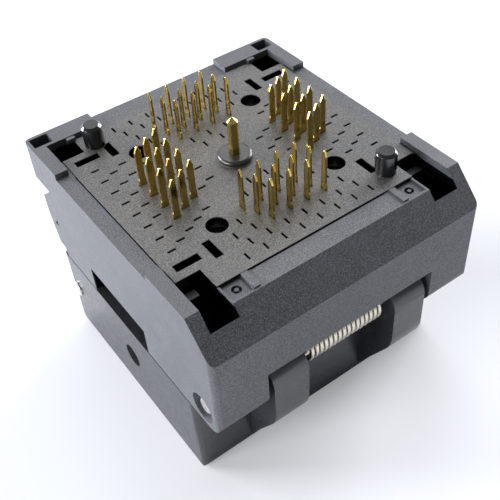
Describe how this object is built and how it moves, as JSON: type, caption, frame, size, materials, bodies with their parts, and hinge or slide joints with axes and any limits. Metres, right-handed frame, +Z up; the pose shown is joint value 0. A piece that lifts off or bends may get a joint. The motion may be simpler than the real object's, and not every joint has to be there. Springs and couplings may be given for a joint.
{
  "type": "ic test socket",
  "caption": "Hinged-lid test socket for a square leadless chip, lying on its lid with its gold solder tails, ground pin and locating pegs up.",
  "frame": {"origin": "under the middle of the outline, on the surface that the lid's outer face lies on", "axes": "+X along the hinge, +Y from the hinge side to the latch side, +Z up out of the solder tails; in use, on a board, the socket is the other way up"},
  "size_m": [0.0232, 0.025, 0.0216],
  "materials": {
    "housing_black": "moulded, fine grain",
    "plate_black": "moulded, fine grain",
    "inner_black": "moulded, satin",
    "gold": "gold plated",
    "pin_steel": "ground",
    "spring_steel": "drawn wire"
  },
  "bodies": {
    "base": {"base_housing": "housing_black", "contact_plate": "plate_black", "contact_block": "inner_black", "contacts_right_side": "gold", "contacts_latch_side": "gold", "contacts_left_side": "gold", "contacts_hinge_side": "gold", "probe_barrel": "gold", "probe_spring": "spring_steel", "hinge_pin": "pin_steel", "hinge_spring": "spring_steel", "nest_pins": "pin_steel", "nest_springs": "spring_steel"},
    "lid": {"lid_frame": "housing_black", "pad_pin": "pin_steel", "pad_springs": "spring_steel", "latch_pin": "pin_steel", "latch_springs": "spring_steel"},
    "latch": {"latch_lever": "housing_black"},
    "pad": {"pressure_pad": "inner_black"},
    "nest": {"nest": "inner_black"},
    "probe_tip": {"probe_plunger": "gold"}
  },
  "joints": [
    {"name": "lid_hinge", "type": "hinge", "parent": "base", "child": "lid", "pos_m": [0, -0.01052, 0.00985], "axis": [-1, 0, 0], "range_deg": [0, 95], "deforming": ["hinge_spring"]},
    {"name": "latch_turn", "type": "hinge", "parent": "lid", "child": "latch", "pos_m": [0, 0.00962, 0.0044], "axis": [-1, 0, 0], "range_deg": [0, 12], "stiffness_Nm_per_rad": 0.013, "springref_deg": -16.04, "deforming": ["latch_springs"]},
    {"name": "pad_slide", "type": "slide", "parent": "lid", "child": "pad", "axis": [0, 0, -1], "range_m": [0, 0.0006], "stiffness_N_per_m": 8000, "springref_m": -0.0005, "deforming": ["pad_springs"]},
    {"name": "nest_slide", "type": "slide", "parent": "base", "child": "nest", "axis": [0, 0, 1], "range_m": [0, 0.0005], "stiffness_N_per_m": 1000, "springref_m": -0.0005, "deforming": ["nest_springs"]},
    {"name": "probe_slide", "type": "slide", "parent": "base", "child": "probe_tip", "axis": [0, 0, 1], "range_m": [0, 0.0004], "stiffness_N_per_m": 300, "springref_m": -0.0005, "deforming": ["probe_spring"]}
  ]
}
